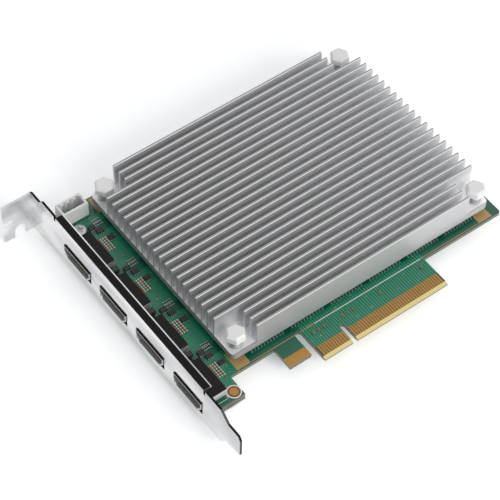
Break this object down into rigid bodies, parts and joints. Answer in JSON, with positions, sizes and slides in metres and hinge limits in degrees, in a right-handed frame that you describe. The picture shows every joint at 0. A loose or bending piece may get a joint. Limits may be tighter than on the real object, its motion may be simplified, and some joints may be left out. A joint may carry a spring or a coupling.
{
  "type": "video capture card",
  "caption": "Full-height expansion card with a row of display sockets on its bracket, an edge connector and a large finned heatsink held by spring screws.",
  "frame": {"origin": "middle of the key slot at the ends of the contacts, on the underside of the board", "axes": "+X from the bracket along the card, +Y from the edge connector to the card's top edge, +Z out of the component side"},
  "size_m": [0.1433, 0.12, 0.0206],
  "materials": {
    "solder_mask": "gloss",
    "gold_plate": "satin",
    "bright_steel": "polished",
    "heatsink_metal": "satin",
    "white_nylon": "matte",
    "spring_steel": "satin",
    "chip_substrate": "matte",
    "lid_metal": "satin",
    "thermal_pad": "matte",
    "chip_black": "matte",
    "tinned_lead": "satin",
    "capacitor_brown": "matte",
    "shell_steel": "satin"
  },
  "bodies": {
    "root": {"bracket": "bright_steel", "bracket_screw": "spring_steel", "circuit_board": "solder_mask", "coupling_capacitors": "capacitor_brown", "driver_chips": "chip_black", "edge_contacts_lower": "gold_plate", "edge_contacts_upper": "gold_plate", "filter_blocks": "chip_black", "foot_rivet": "gold_plate", "header_housing": "white_nylon", "header_pins": "tinned_lead", "heatsink": "heatsink_metal", "heatsink_nuts": "white_nylon", "heatsink_screws": "white_nylon", "heatsink_springs": "spring_steel", "memory_chips": "chip_black", "memory_leads": "tinned_lead", "memory_thermal_pads": "thermal_pad", "port_capacitors": "capacitor_brown", "processor_lid": "lid_metal", "processor_substrate": "chip_substrate", "processor_thermal_pad": "thermal_pad", "socket_contacts_1": "gold_plate", "socket_contacts_2": "gold_plate", "socket_contacts_3": "gold_plate", "socket_contacts_4": "gold_plate", "socket_insert_1": "chip_black", "socket_insert_2": "chip_black", "socket_insert_3": "chip_black", "socket_insert_4": "chip_black", "socket_shell_1": "shell_steel", "socket_shell_2": "shell_steel", "socket_shell_3": "shell_steel", "socket_shell_4": "shell_steel", "tab_plating": "gold_plate"}
  },
  "joints": []
}
